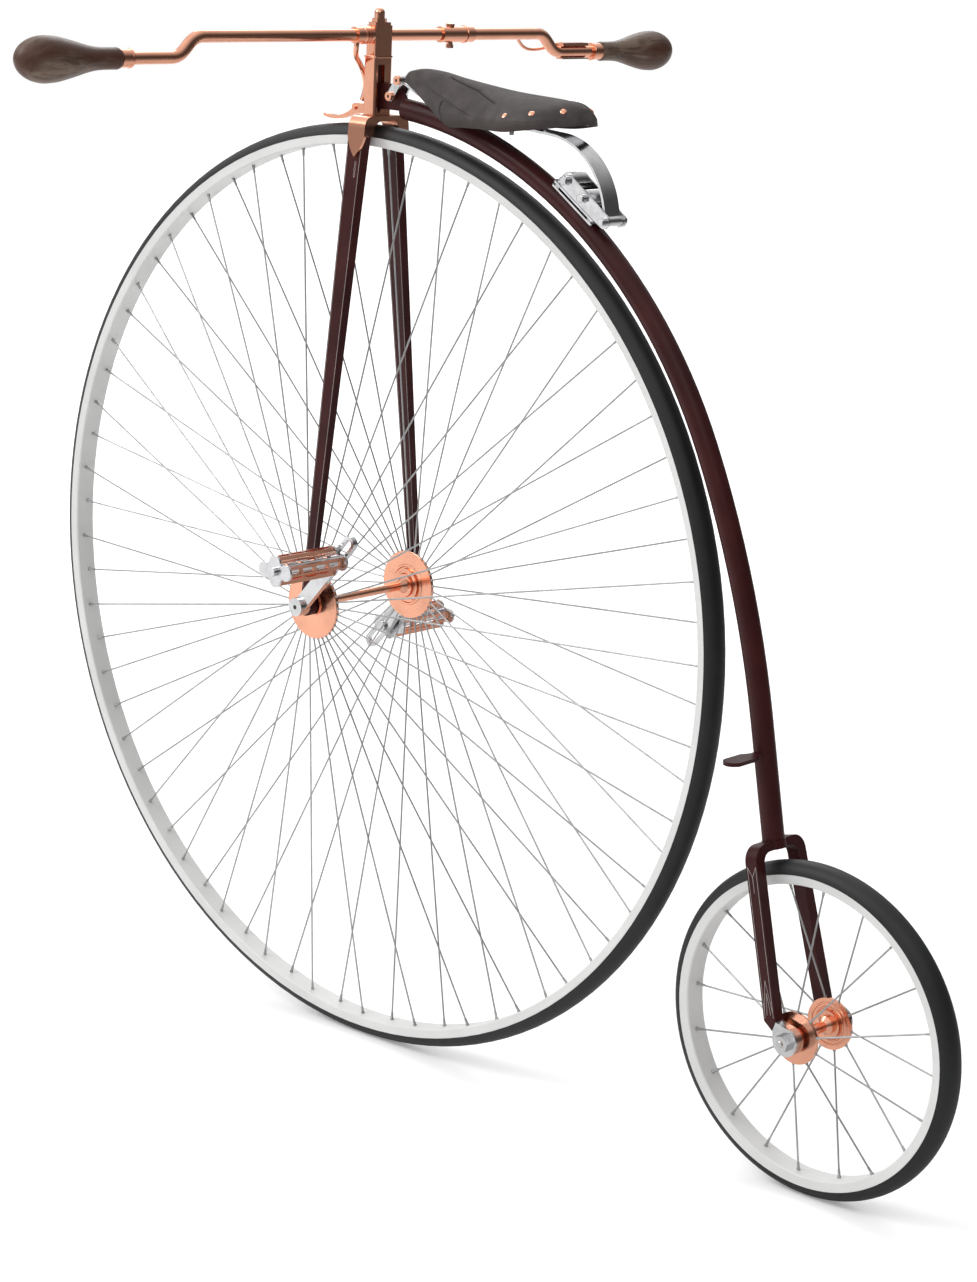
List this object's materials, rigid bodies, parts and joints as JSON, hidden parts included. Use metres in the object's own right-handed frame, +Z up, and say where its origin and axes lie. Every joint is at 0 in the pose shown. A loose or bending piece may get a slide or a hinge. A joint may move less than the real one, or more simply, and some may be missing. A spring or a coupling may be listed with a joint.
{
  "type": "penny farthing bicycle",
  "caption": "High bicycle with a large pedalled front wheel, a small trailing wheel on a curved backbone, a sprung leather saddle and a bent handlebar with pear-shaped grips.",
  "frame": {"origin": "on the saddle, where the rider sits", "axes": "+X forward along the travel, +Y to the rider's left, +Z up; the wheels stand on one level"},
  "size_m": [1.7002, 1.21, 1.4738],
  "materials": {
    "plum_paint": "satin",
    "white_paint": "satin",
    "copper": "polished",
    "chromed_steel": "polished",
    "spoke_steel": "brushed",
    "dark_rubber": "matte",
    "saddle_hide": "worn satin",
    "walnut": "varnished"
  },
  "bodies": {
    "frame": {"backbone": "plum_paint", "backbone_neck": "plum_paint", "mounting_step": "plum_paint", "rear_axle": "copper", "rear_axle_nuts": "chromed_steel", "rear_fork": "plum_paint", "saddle_frame": "chromed_steel", "saddle_leather": "saddle_hide", "saddle_spring": "chromed_steel", "shackle_base": "chromed_steel", "shackle_bolts": "chromed_steel", "shackle_cheeks": "chromed_steel", "shackle_rollers": "chromed_steel", "spring_link": "chromed_steel", "spring_link_bolts": "copper"},
    "fork": {"bar_sleeves": "copper", "brake_lever": "copper", "brake_lug": "copper", "brake_rod": "copper", "brake_spoon": "copper", "fork_blade_left": "plum_paint", "fork_blade_right": "plum_paint", "fork_crown": "copper", "grip_ferrules": "copper", "grip_left": "walnut", "grip_right": "walnut", "handlebar": "copper", "head_block": "copper", "head_nut": "copper", "steering_head": "copper"},
    "front_wheel": {"crank_left": "chromed_steel", "crank_right": "chromed_steel", "front_hub": "copper", "front_rim": "white_paint", "front_spokes": "spoke_steel", "front_tyre": "dark_rubber", "pedal_spindles": "chromed_steel"},
    "pedal_left": {"pedal_bars_left": "copper", "pedal_left": "chromed_steel"},
    "pedal_right": {"pedal_bars_right": "copper", "pedal_right": "chromed_steel"},
    "rear_wheel": {"rear_hub": "copper", "rear_rim": "white_paint", "rear_spokes": "spoke_steel", "rear_tyre": "dark_rubber"}
  },
  "joints": [
    {"name": "steering", "type": "hinge", "parent": "frame", "child": "fork", "pos_m": [0.292, 0, -0.704], "axis": [-0.0523, 0, 0.9986], "range_deg": [-25, 25]},
    {"name": "front_wheel_spin", "type": "hinge", "parent": "fork", "child": "front_wheel", "pos_m": [0.292, 0, -0.704], "axis": [0, 1, 0], "continuous": true},
    {"name": "pedal_left_spin", "type": "hinge", "parent": "front_wheel", "child": "pedal_left", "pos_m": [0.21493, 0.18, -0.62693], "axis": [0, 1, 0], "continuous": true},
    {"name": "pedal_right_spin", "type": "hinge", "parent": "front_wheel", "child": "pedal_right", "pos_m": [0.36907, -0.18, -0.78107], "axis": [0, 1, 0], "continuous": true},
    {"name": "rear_wheel_spin", "type": "hinge", "parent": "frame", "child": "rear_wheel", "pos_m": [-0.528, 0, -1.1436], "axis": [0, 1, 0], "continuous": true}
  ]
}
